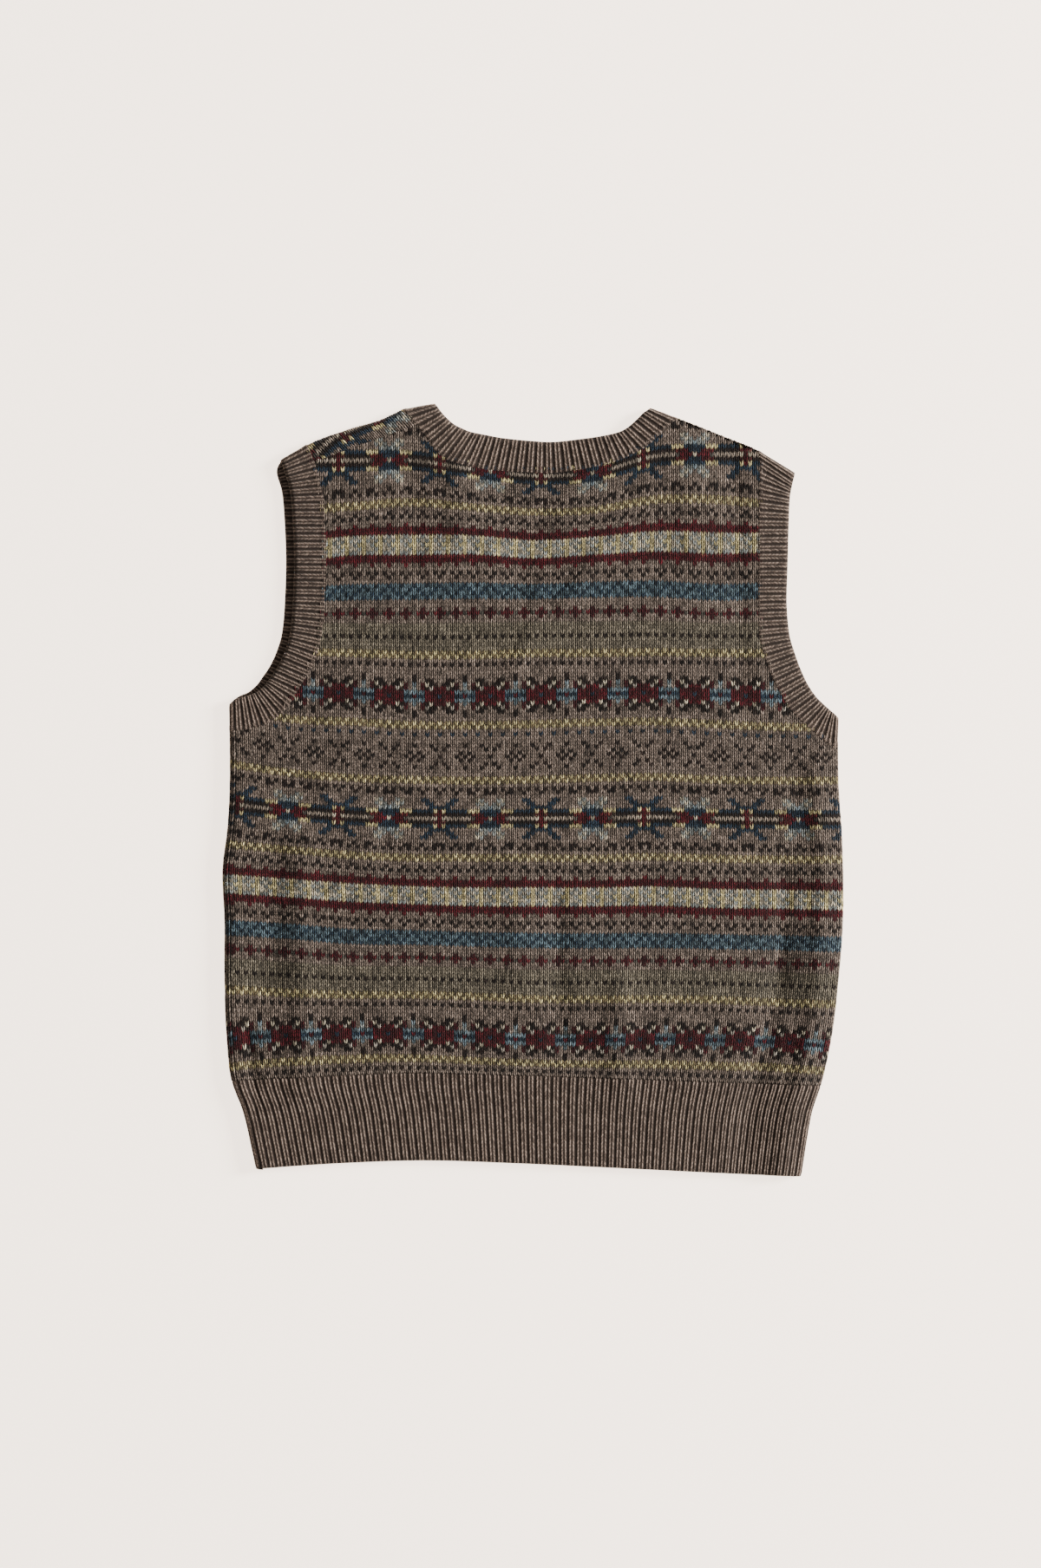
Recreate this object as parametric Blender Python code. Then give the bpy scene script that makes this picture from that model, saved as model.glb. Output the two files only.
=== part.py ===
"""Fair isle sweater vest, laid flat with its back up.

All lengths are millimetres until a mesh is written. X runs to the right as seen from
above, Y runs from the hem to the neck and the surface it lies on is Z = 0. The vest is a
flattened tube: its upper layer is the back and its lower layer is the front. A layer is
+1 for the upper one and -1 for the lower one; a side is -1 for the left and +1 for the
right, as seen from above.
"""
import math

import bmesh
import bpy

MM = 0.001
TOP, BOTTOM = 1, -1
LEFT, RIGHT = -1, 1

WALL = 2.6            # thickness of the knitted cloth
LOFT = 6.8            # height of the two layers lying on each other
SEAM_GAP = 0.4        # between pieces that are sewn together
SEAM_INSET = 5.0      # of a side seam from its fold
SEAM_STEP = 0.01      # share of a seam over which its direction is taken
RIB_RISE = 0.55       # of a rib's crest over its furrow
CENTRE = (-0.25, 1.0)  # middle of the outline in the tables' own frame

BAND_ROWS = 3         # across a band
SIDE_ROWS = 9         # up a panel, from the hem seam to the underarm
ARMHOLE_ROWS = 15     # up a panel, from the underarm to the shoulder
SHOULDER_COLUMNS = 5  # of a panel, at each shoulder
NECK_COLUMNS = 14     # of a panel, along the neck seam
ROLL_ANGLES = (90.0, 60.0, 30.0)
HEM_RIBS = 75
PLAIN_STEP = 13.0     # between the stations of a band's hidden stretch
SHOULDER_BLEND = 0.45  # share of the armhole rows that bend to the neck and shoulders

# Height, then where the left and the right fold of the tube lie.
SIDE_FOLDS = (
    (-318.0, -227.5, 220.5),
    (-292.0, -233.0, 224.5),
    (-263.0, -240.0, 230.0),
    (-242.0, -248.0, 237.0),
    (-206.0, -252.5, 245.0),
    (-149.0, -254.5, 252.0),
    (-106.0, -254.5, 255.0),
    (-63.0, -256.0, 255.0),
    (-35.0, -252.5, 254.0),
    (-6.0, -250.5, 252.0),
    (22.0, -250.0, 251.0),
    (50.0, -250.5, 251.0),
    (71.0, -251.0, 252.0),
)
# Place across the vest, then the height of the fold along that shoulder.
SHOULDER_FOLDS = {
    LEFT: (
        (-208.5, 272.5),
        (-188.0, 284.5),
        (-153.5, 297.5),
        (-125.5, 306.0),
        (-107.0, 314.5),
        (-81.5, 319.5),
    ),
    RIGHT: (
        (96.5, 315.5),
        (121.5, 306.0),
        (154.5, 293.0),
        (186.0, 280.0),
        (200.0, 272.0),
        (215.5, 262.0),
    ),
}
# Place across the vest, then the height of the hem seam and of the hem's lower edge.
HEM = (
    (-252.0, -239.0, -311.0),
    (-154.0, -234.5, -304.5),
    (-96.0, -232.5, -303.0),
    (-10.0, -234.5, -305.5),
    (61.0, -237.0, -309.0),
    (146.0, -240.0, -313.0),
    (240.0, -243.0, -317.5),
)
# Stations of each armhole from the underarm fold to the shoulder fold: the seam's x and
# y, then the free edge's x and y.
ARMHOLES = {
    LEFT: (
        (-250.5, 50.4, -251.0, 71.0),
        (-245.5, 50.4, -246.0, 74.5),
        (-228.5, 52.8, -235.0, 78.0),
        (-213.5, 59.5, -228.0, 81.0),
        (-203.0, 70.0, -221.5, 86.5),
        (-195.5, 82.0, -217.0, 92.5),
        (-188.0, 94.5, -209.5, 104.0),
        (-180.5, 109.0, -203.5, 118.0),
        (-175.5, 127.5, -200.0, 132.0),
        (-173.0, 154.5, -198.0, 155.5),
        (-172.0, 191.0, -197.0, 191.0),
        (-173.0, 227.5, -198.5, 227.5),
        (-175.5, 249.0, -200.5, 247.0),
        (-181.5, 270.5, -205.0, 262.5),
        (-188.0, 284.5, -208.5, 272.5),
    ),
    RIGHT: (
        (251.0, 37.0, 252.0, 59.5),
        (246.0, 37.0, 248.5, 62.5),
        (226.5, 52.5, 240.5, 69.5),
        (215.0, 64.0, 232.5, 77.5),
        (206.5, 76.0, 225.5, 88.0),
        (198.5, 91.0, 219.5, 101.0),
        (191.5, 109.0, 214.0, 116.5),
        (187.0, 127.5, 210.5, 130.0),
        (186.0, 154.5, 208.5, 155.0),
        (186.0, 187.0, 209.3, 187.0),
        (186.0, 215.5, 210.0, 215.5),
        (186.5, 245.5, 211.0, 240.0),
        (187.0, 269.0, 213.0, 252.0),
        (186.0, 280.0, 215.5, 262.0),
    ),
}
# How far the front's armhole lies outside the back's one.
FRONT_SHIFT = {LEFT: 7.0, RIGHT: -1.2}
SHIFT_FADE = 18.0
# Stations of the back neck from the left shoulder fold to the right one, as above.
BACK_NECK = (
    (-107.0, 314.5, -81.5, 319.5),
    (-96.0, 301.5, -76.0, 312.0),
    (-88.5, 293.0, -71.0, 306.5),
    (-83.0, 284.0, -65.0, 301.5),
    (-76.5, 277.0, -59.0, 298.5),
    (-67.0, 271.8, -51.5, 295.5),
    (-49.5, 267.5, -39.5, 293.0),
    (-30.5, 264.6, -24.5, 290.3),
    (-3.5, 263.2, -1.5, 288.0),
    (18.0, 262.8, 16.5, 287.2),
    (43.5, 266.5, 38.0, 289.5),
    (62.0, 270.5, 55.0, 291.8),
    (80.5, 277.5, 69.0, 294.8),
    (93.0, 284.8, 77.5, 299.0),
    (101.5, 292.5, 85.0, 305.5),
    (108.0, 300.0, 90.5, 311.0),
    (118.0, 307.3, 96.5, 315.5),
)
NECK_POINT = (-9.0, 87.0, -9.0, 123.0)  # the bottom of the V, in the same columns
RIBS = {"neck": 29, LEFT: 38, RIGHT: 34}

# Soft creases of the upper layer: both ends, half width and height.
CREASES = (
    (-186.0, -49.0, -186.0, -235.0, 9.0, 0.7),
    (-218.0, -63.0, -218.0, -149.0, 11.0, -0.6),
    (25.0, -149.0, 43.0, -210.0, 11.0, -0.7),
    (-14.0, -92.0, -11.0, -149.0, 13.0, 0.5),
    (68.0, -170.0, 69.0, -228.0, 11.0, 0.5),
    (232.0, -63.0, 221.0, -149.0, 9.0, -0.9),
    (221.0, -149.0, 189.0, -270.0, 9.0, -0.9),
    (61.0, 201.0, 39.0, 165.0, 6.0, 0.5),
    (7.0, 144.0, -14.0, 94.0, 6.0, 0.5),
    (-54.0, 258.0, -54.0, 201.0, 8.0, 0.5),
    (132.0, 280.0, 132.0, 208.0, 13.0, 0.5),
    (164.0, 270.0, 171.0, 94.0, 11.0, -0.6),
    (-100.0, 251.0, -100.0, 194.0, 11.0, -0.5),
)
# Rolls along the folds: height over the loft and how far in they reach.
SIDE_ROLL = {LEFT: (0.5, 10.0), RIGHT: (1.7, 11.0)}
ROLL_TOP = 40.0       # above this height the side rolls fade out
ROLL_FADE = 30.0
NECK_SAG = 1.5        # where no front lies under the back, inside the V
NECK_SPREAD = 0.40    # half width of the V for each millimetre above its point
SAG_FADE = 30.0
HEM_END = 245.0       # how far from the middle the hem's heights at its ends are read
SHARP_ANGLE = 40.0


def mix(a, b, share):
    """Return the value a share of the way from a to b."""
    return a + (b - a) * share


def mix_points(a, b, share):
    """Return the point a share of the way from a to b."""
    return tuple(mix(p, q, share) for p, q in zip(a, b))


def ease(share):
    """Return a share from 0 to 1 with soft ends."""
    share = min(max(share, 0.0), 1.0)
    return share * share * (3.0 - 2.0 * share)


def read_row(table, place):
    """Return the columns of a table at a place, straight between its rows."""
    for low, high in zip(table, table[1:]):
        if place <= high[0]:
            break
    share = min(max((place - low[0]) / (high[0] - low[0]), 0.0), 1.0)
    return mix_points(low[1:], high[1:], share)


def smooth_row(table, share):
    """Return a row of a table at a share of its length, on a smooth curve."""
    place = share * (len(table) - 1)
    start = min(int(place), len(table) - 2)
    t = place - start
    before = table[max(start - 1, 0)]
    after = table[min(start + 2, len(table) - 1)]
    row = []
    for a, b, c, d in zip(before, table[start], table[start + 1], after):
        bend = 2.0 * a - 5.0 * b + 4.0 * c - d
        twist = 3.0 * (b - c) + d - a
        row.append(b + 0.5 * t * (c - a + t * (bend + t * twist)))
    return tuple(row)


def side_fold(side, y):
    """Return the x of a side fold at a height."""
    return read_row(SIDE_FOLDS, y)[0 if side == LEFT else 1]


def shoulder_fold(side, x):
    """Return the height of a shoulder fold at a place across."""
    return read_row(SHOULDER_FOLDS[side], x)[0]


def fold_depth(x, y):
    """Return how far in from the nearest fold a place lies, and the way out."""
    depths = []
    for side in (LEFT, RIGHT):
        depths.append((side * (side_fold(side, y) - x), (side, 0.0)))
        ends = SHOULDER_FOLDS[side]
        slope = (ends[-1][1] - ends[0][1]) / (ends[-1][0] - ends[0][0])
        steep = math.hypot(1.0, slope)
        if ends[0][0] - SEAM_INSET < x < ends[-1][0] + SEAM_INSET:
            depth = (shoulder_fold(side, x) - y) / steep
            depths.append((depth, (-slope / steep, 1.0 / steep)))
    return min(depths)


def crease_rise(x, y, crease):
    """Return what one crease adds to the height at a place."""
    x1, y1, x2, y2, half_width, rise = crease
    length = math.hypot(x2 - x1, y2 - y1)
    along = ((x - x1) * (x2 - x1) + (y - y1) * (y2 - y1)) / length
    across = ((x - x1) * (y2 - y1) - (y - y1) * (x2 - x1)) / length
    past = max(-along, along - length, 0.0)
    return rise * math.exp(-(across / half_width) ** 2 - (past / (2.0 * half_width)) ** 2)


def loft(x, y):
    """Return the height of the upper layer over the surface, away from its folds."""
    height = LOFT + sum(crease_rise(x, y, crease) for crease in CREASES)
    low_down = ease((ROLL_TOP - y) / ROLL_FADE)
    for side in (LEFT, RIGHT):
        rise, reach = SIDE_ROLL[side]
        depth = side * (side_fold(side, y) - x)
        height += rise * low_down * math.exp(-(depth / reach) ** 2)
    point_x, _, _, point_y = NECK_POINT
    half_neck = NECK_SPREAD * (y - point_y)
    height -= NECK_SAG * ease((half_neck - abs(x - point_x)) / SAG_FADE)
    return height


def skin(x, y, layer):
    """Return the outer point of a layer over a place, and the way out of the cloth."""
    height = loft(x, y)
    radius = 0.5 * height
    depth, outward = fold_depth(x, y)
    if depth < radius:
        level = 1.0 - max(depth, 0.0) / radius
        rise = math.sqrt(1.0 - level * level)
        point = (x, y, radius * (1.0 + layer * rise))
        return point, (outward[0] * level, outward[1] * level, layer * rise)
    if layer == BOTTOM:
        return (x, y, 0.0), (0.0, 0.0, -1.0)
    slope_x = loft(x + 0.5, y) - loft(x - 0.5, y)  # taken over 1 mm
    slope_y = loft(x, y + 0.5) - loft(x, y - 0.5)
    steep = math.sqrt(1.0 + slope_x ** 2 + slope_y ** 2)
    return (x, y, height), (-slope_x / steep, -slope_y / steep, 1.0 / steep)


def to_world(point):
    """Return a point in metres, with the outline's middle at the origin."""
    x, y, z = point
    return (x - CENTRE[0]) * MM, (y - CENTRE[1]) * MM, z * MM


def cloth_material(name, colour):
    """Return a matt wool material."""
    material = bpy.data.materials.new(name)
    material.use_nodes = True
    shader = material.node_tree.nodes["Principled BSDF"]
    shader.inputs["Base Color"].default_value = (*colour, 1.0)
    shader.inputs["Roughness"].default_value = 0.9
    shader.inputs["Metallic"].default_value = 0.0
    material.diffuse_color = (*colour, 1.0)
    return material


def cloth_piece(name, colour, places, closed=False):
    """Make a wall of cloth from rows of places.

    A place is x, y, layer and how far a rib rises there, or None where there is no
    cloth. The places lie on the outer face; the inner face is plain.
    """
    columns = len(places[0])
    mesh = bmesh.new()
    bmesh.ops.create_grid(mesh, x_segments=columns - 1, y_segments=len(places) - 1)
    number = mesh.verts.layers.int.new("number")
    for index, vert in enumerate(mesh.verts):
        vert[number] = index
    missing = []
    for vert in mesh.verts:
        place = places[vert[number] // columns][vert[number] % columns]
        if place is None:
            missing.append(vert)
            continue
        point, outward = skin(*place[:3])
        vert.co = to_world(tuple(p + place[3] * o for p, o in zip(point, outward)))
    bmesh.ops.delete(mesh, geom=missing, context="VERTS")
    if closed:
        bmesh.ops.remove_doubles(mesh, verts=mesh.verts[:], dist=0.01 * MM)
    wall = bmesh.ops.extrude_face_region(mesh, geom=mesh.faces[:], use_keep_orig=True)
    for item in wall["geom"]:
        if isinstance(item, bmesh.types.BMVert):
            place = places[item[number] // columns][item[number] % columns]
            point, outward = skin(*place[:3])
            item.co = to_world(tuple(p - WALL * o for p, o in zip(point, outward)))
    bmesh.ops.recalc_face_normals(mesh, faces=mesh.faces[:])
    data = bpy.data.meshes.new(name)
    mesh.to_mesh(data)
    mesh.free()
    data.materials.append(cloth_material(name, colour))
    data.shade_smooth()
    data.set_sharp_from_angle(angle=math.radians(SHARP_ANGLE))
    piece = bpy.data.objects.new(name, data)
    VEST.objects.link(piece)
    return piece


def shifted_armhole(side, layer):
    """Return an armhole's stations on a layer; the front's lie further out."""
    stations = ARMHOLES[side]
    if layer == TOP:
        return stations
    moved = []
    for row in stations:
        low = math.dist(row[:2], stations[0][:2])
        high = math.dist(row[:2], stations[-1][:2])
        fade = ease(min(low, high) / SHIFT_FADE)
        shift = side * FRONT_SHIFT[side] * fade
        moved.append((row[0] + shift, row[1], row[2] + shift, row[3]))
    return tuple(moved)


def armhole_breaks(side, layer):
    """Return where along an armhole the rows of the panel of that layer meet it."""
    last = len(ARMHOLES[side]) - 1
    end = last - 1
    if not (side == LEFT and layer == TOP):
        end = last - SEAM_INSET / last_depth(ARMHOLES[side])
    return [mix(1.0, end, row / ARMHOLE_ROWS) / last for row in range(ARMHOLE_ROWS + 1)]


def last_depth(stations):
    """Return how far in from its shoulder fold the last station but one lies."""
    return fold_depth(*stations[-2][:2])[0]


def front_neck(share):
    """Return a row of the V neck at a share of its length."""
    arm = BACK_NECK[0] if share < 0.5 else BACK_NECK[-1]
    return mix_points(NECK_POINT, arm, abs(2.0 * share - 1.0))


def neck_row(layer, share):
    """Return a row of the neck of a layer at a share of its length."""
    return smooth_row(BACK_NECK, share) if layer == TOP else front_neck(share)


def neck_breaks(layer):
    """Return where along the neck the columns of the panel of that layer meet it."""
    last = len(BACK_NECK) - 1
    if layer == TOP:
        start = 1.0 / last
        end = 1.0 - SEAM_INSET / fold_depth(*BACK_NECK[-2][:2])[0] / last
    else:
        start = share_at_depth(LEFT)
        end = 1.0 - share_at_depth(RIGHT)
    return [mix(start, end, column / NECK_COLUMNS) for column in range(NECK_COLUMNS + 1)]


def share_at_depth(side):
    """Return the share of the V neck's length at which it is clear of a shoulder fold."""
    step = 0.001
    share = 0.0
    while fold_depth(*front_neck(share if side == LEFT else 1.0 - share)[:2])[0] < SEAM_INSET:
        share += step
    return share


def seam_place(row_at, breaks, share):
    """Return the seam's place at a share, straight between the panel's own points."""
    knots = [0.0, *breaks, 1.0]
    for low, high in zip(knots, knots[1:]):
        if share <= high:
            break
    return mix_points(row_at(low)[:2], row_at(high)[:2], (share - low) / (high - low))


def rung(row_at, breaks, share):
    """Return a band's places from its seam to its free edge."""
    seam = seam_place(row_at, breaks, share)
    edge = row_at(share)[2:]
    before = row_at(max(share - SEAM_STEP, 0.0))
    after = row_at(min(share + SEAM_STEP, 1.0))
    run_x, run_y = after[0] - before[0], after[1] - before[1]
    across = run_x * (edge[1] - seam[1]) - run_y * (edge[0] - seam[0])
    start = SEAM_GAP * math.hypot(run_x, run_y) / abs(across)
    places = []
    for row in range(BAND_ROWS + 1):
        x, y = mix_points(seam, edge, mix(start, 1.0, row / BAND_ROWS))
        if share in (0.0, 1.0):
            depth, outward = fold_depth(x, y)
            x, y = x + outward[0] * depth, y + outward[1] * depth
        places.append((x, y))
    return places


def band_shares(row_at, breaks, count):
    """Return a band's stations as shares: round the folds, then evenly between."""
    samples = 200
    lengths = [0.0]
    for index in range(samples):
        a = rung(row_at, breaks, index / samples)[2]
        b = rung(row_at, breaks, (index + 1) / samples)[2]
        lengths.append(lengths[-1] + math.dist(a, b))

    def share_at(length):
        for index in range(samples):
            if length <= lengths[index + 1]:
                break
        stretch = lengths[index + 1] - lengths[index]
        return (index + (length - lengths[index]) / stretch) / samples

    radius = 0.5 * LOFT
    roll = [radius * (1.0 - math.cos(math.radians(angle))) for angle in ROLL_ANGLES[::-1]]
    total = lengths[-1]
    middle = [mix(roll[-1], total - roll[-1], step / count) for step in range(1, count)]
    stops = [0.0, *roll, *middle, *(total - length for length in roll[::-1]), total]
    return [share_at(stop) for stop in stops]


def make_band(name, colour, layers, ribs):
    """Make a ribbed loop from its upper stretch and its lower one.

    Each stretch is its layer, a function for its rows and the panel's breaks on it; the
    lower one runs back to where the upper one began.
    """
    stations = []
    for layer, row_at, breaks in layers:
        samples = [row_at(step / 100.0)[:2] for step in range(101)]
        length = sum(math.dist(a, b) for a, b in zip(samples, samples[1:]))
        count = 2 * ribs if layer == TOP else int(length / PLAIN_STEP)
        shares = band_shares(row_at, breaks, count)
        plain = len(ROLL_ANGLES)
        line = []
        for index, share in enumerate(shares):
            ribbed = layer == TOP and plain < index < len(shares) - 1 - plain
            rise = RIB_RISE * ((index - plain) % 2) if ribbed else 0.0
            line.append([(*place, layer, rise) for place in rung(row_at, breaks, share)])
        if layer == BOTTOM:
            line = line[::-1]
        stations.extend(line if not stations else line[1:])
    stations[-1] = stations[0]
    rows = [list(row) for row in zip(*stations)]
    return cloth_piece(name, colour, rows, closed=True)


def roll_stations(side, x, y, layer):
    """Return depths and layers of the stations round a fold, leaving from a layer."""
    radius = 0.5 * loft(x, y)
    depths = [radius * (1.0 - math.cos(math.radians(angle))) for angle in ROLL_ANGLES]
    away = [(depth, layer) for depth in depths]
    return away + [(0.0, layer)] + [(depth, -layer) for depth in depths[::-1]]


def wrap_columns(side, y, layer):
    """Return the places where a layer turns round its side fold to its seam."""
    fold = side_fold(side, y)
    places = [(fold - side * depth, y, at) for depth, at in roll_stations(side, fold, y, layer)]
    return places + [(fold - side * SEAM_INSET, y, -layer)]


def tube_row(layer, start_y, end_y, columns):
    """Return one row across a layer: from its seam to past its fold."""
    near = -layer * SEAM_INSET
    start = side_fold(-layer, start_y) + layer * (SEAM_INSET + SEAM_GAP)
    end = side_fold(layer, end_y) + near
    row = []
    for column in range(columns + 1):
        share = column / columns
        row.append((mix(start, end, share), mix(start_y, end_y, share), layer))
    return row + wrap_columns(layer, end_y, layer)


def make_hem(name, colour, layer):
    """Make the hem rib of a layer, from the hem seam to its free edge."""
    columns = 2 * HEM_RIBS if layer == TOP else 2 * SHOULDER_COLUMNS + NECK_COLUMNS
    rows = []
    for row in range(BAND_ROWS + 1):
        down = row / BAND_ROWS
        ends = []
        for side in (-layer, layer):
            seam, edge = read_row(HEM, side * HEM_END)
            ends.append(mix(seam - SEAM_GAP, edge, down))
        line = tube_row(layer, *ends, columns)
        bent = []
        for index, (x, y, at) in enumerate(line):
            seam, edge = read_row(HEM, x)
            if index > columns:
                rise = 0.0
            else:
                y = mix(seam - SEAM_GAP, edge, down)
                rise = RIB_RISE * (index % 2) if layer == TOP else 0.0
            bent.append((x, y, at, rise))
        rows.append(bent)
    return cloth_piece(name, colour, rows)


def top_line(layer):
    """Return a panel's top edge, from its seam side to the side where it wraps."""
    neck = [neck_row(layer, share)[:2] for share in neck_breaks(layer)]
    left = shoulder_line(LEFT, seam_end(LEFT, layer), neck[0])
    right = shoulder_line(RIGHT, neck[-1], seam_end(RIGHT, layer))
    stops = left[:-1] + neck + right[1:]
    return stops if layer == TOP else stops[::-1]


def seam_end(side, layer):
    """Return the last place that a panel shares with an armhole band."""
    return smooth_row(shifted_armhole(side, layer), armhole_breaks(side, layer)[-1])[:2]


def shoulder_line(side, start, end):
    """Return places along a shoulder, at the depth under its fold that its ends have."""
    drops = [shoulder_fold(side, place[0]) - place[1] for place in (start, end)]
    line = []
    for column in range(SHOULDER_COLUMNS + 1):
        share = column / SHOULDER_COLUMNS
        x = mix(start[0], end[0], share)
        line.append((x, shoulder_fold(side, x) - mix(*drops, share)))
    return line


def shoulder_wrap(layer, top):
    """Return the rows where a panel turns round its shoulder fold to its seam."""
    side = layer
    middle = top[-1 - SHOULDER_COLUMNS // 2]
    stations = roll_stations(side, *middle, layer)
    last = -1 if side == RIGHT else 0
    ends = {}
    for at in (TOP, BOTTOM):
        neck_end = neck_row(at, neck_breaks(at)[last])[:2]
        ends[at] = (neck_end, seam_end(side, at))
    fold_ends = (BACK_NECK[last][:2], ARMHOLES[side][-1][:2])
    rows = []
    for depth, at in [*stations, (None, -layer)]:
        limits = []
        for inner, fold in zip(ends[at], fold_ends):
            full = fold_depth(*inner)[0]
            share = (full - SEAM_GAP if depth is None else depth) / full
            limits.append(mix_points(fold, inner, share))
        drops = [shoulder_fold(side, place[0]) - place[1] for place in limits]
        row = []
        for column in range(SHOULDER_COLUMNS + 1):
            share = column / SHOULDER_COLUMNS
            x = mix(limits[0][0], limits[1][0], share)
            row.append((x, shoulder_fold(side, x) - mix(*drops, share), at, 0.0))
        rows.append(row)
    return rows


def make_panel(name, colour, layer):
    """Make the panel of a layer from the hem seam to the shoulders."""
    top = top_line(layer)
    columns = len(top) - 1
    middle = top[0][0] + 0.5 * (top[-1][0] - top[0][0])
    rows = []
    hem_ends = [read_row(HEM, side * HEM_END)[0] for side in (-layer, layer)]
    underarms = [ARMHOLES[side][1][1] for side in (-layer, layer)]
    for row in range(SIDE_ROWS + 1):
        up = row / SIDE_ROWS
        heights = mix_points(hem_ends, underarms, up)
        line = tube_row(layer, *heights, columns)
        places = [(*place, 0.0) for place in line]
        for index, stop in enumerate(top):
            share = (stop[0] - top[0][0]) / (top[-1][0] - top[0][0])
            x = mix(line[0][0], line[columns][0], share)
            dip = read_row(HEM, x)[0] - mix(*hem_ends, share)
            y = mix(*heights, share) + dip * (1.0 - up) ** 2
            places[index] = (x, y, layer, 0.0)
        rows.append(places)
    wrap = len(rows[0]) - columns - 1
    breaks = {side: armhole_breaks(side, layer) for side in (LEFT, RIGHT)}
    for row in range(1, ARMHOLE_ROWS + 1):
        limits = []
        for side in (-layer, layer):
            stations = shifted_armhole(side, layer)
            limits.append(smooth_row(stations, breaks[side][row])[:2])
        up = row / ARMHOLE_ROWS
        bend = ease((up - 1.0 + SHOULDER_BLEND) / SHOULDER_BLEND)
        if layer == BOTTOM:
            bend = up
        places = []
        for index, stop in enumerate(top):
            half = 0 if (stop[0] - middle) * layer < 0.0 else 1
            reach = (stop[0] - middle) / (top[-half][0] - middle)
            x = mix(middle, limits[half][0], reach)
            across = (stop[0] - top[0][0]) / (top[-1][0] - top[0][0])
            flat = mix(limits[0][1], limits[1][1], across)
            level = mix(top[0][1], top[-1][1], across)
            places.append((x, flat + bend * (stop[1] - level), layer, 0.0))
        rows.append(places + [None] * wrap)
    blank = columns - SHOULDER_COLUMNS
    for line in shoulder_wrap(layer, top):
        rows.append([None] * blank + line + [None] * wrap)
    return cloth_piece(name, colour, rows)


def armhole_band(name, colour, side):
    """Make the ribbed band of one armhole."""
    stretches = []
    for layer in (TOP, BOTTOM):
        stations = shifted_armhole(side, layer)

        def row_at(share, stations=stations):
            return smooth_row(stations, share)

        stretches.append((layer, row_at, armhole_breaks(side, layer)))
    return make_band(name, colour, stretches, RIBS[side])


def neckband(name, colour):
    """Make the ribbed band of the neck: the back neck above, the V below."""
    stretches = []
    for layer in (TOP, BOTTOM):

        def row_at(share, layer=layer):
            return neck_row(layer, share)

        stretches.append((layer, row_at, neck_breaks(layer)))
    return make_band(name, colour, stretches, RIBS["neck"])


for old in list(bpy.data.objects):
    bpy.data.objects.remove(old, do_unlink=True)
VEST = bpy.data.collections.new("fair_isle_sweater_vest")
bpy.context.scene.collection.children.link(VEST)

PATTERNED = (0.155, 0.120, 0.098)
RIBBED = (0.120, 0.092, 0.074)
make_panel("front_panel", PATTERNED, BOTTOM)
make_panel("back_panel", PATTERNED, TOP)
make_hem("hem_rib_front", RIBBED, BOTTOM)
make_hem("hem_rib_back", RIBBED, TOP)
armhole_band("armhole_band_left", RIBBED, LEFT)
armhole_band("armhole_band_right", RIBBED, RIGHT)
neckband("neckband", RIBBED)
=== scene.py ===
import math

import bmesh
import bpy
import numpy as np
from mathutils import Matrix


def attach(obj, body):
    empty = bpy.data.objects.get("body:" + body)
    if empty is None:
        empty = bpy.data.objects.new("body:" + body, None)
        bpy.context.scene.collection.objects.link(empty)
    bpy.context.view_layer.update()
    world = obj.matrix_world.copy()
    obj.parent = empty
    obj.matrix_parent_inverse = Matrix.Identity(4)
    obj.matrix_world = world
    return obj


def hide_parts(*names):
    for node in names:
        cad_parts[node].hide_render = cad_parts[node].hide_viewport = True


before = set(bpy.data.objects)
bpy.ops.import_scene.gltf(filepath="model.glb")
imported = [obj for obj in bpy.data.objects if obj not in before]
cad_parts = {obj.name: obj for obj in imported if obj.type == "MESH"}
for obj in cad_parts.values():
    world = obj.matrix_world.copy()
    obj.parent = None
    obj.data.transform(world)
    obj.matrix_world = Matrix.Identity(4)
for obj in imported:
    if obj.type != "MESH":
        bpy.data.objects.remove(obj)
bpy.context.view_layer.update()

# Tables are in millimetres: x to the right, y from the hem to the neck, z up from the floor.
# The back of the vest is the upper layer, its front the lower one.
mm = 0.001
tiny = 1e-6                              # metres; points nearer than this are one
upper, lower = 1, -1
left, right = -1, 1

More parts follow.
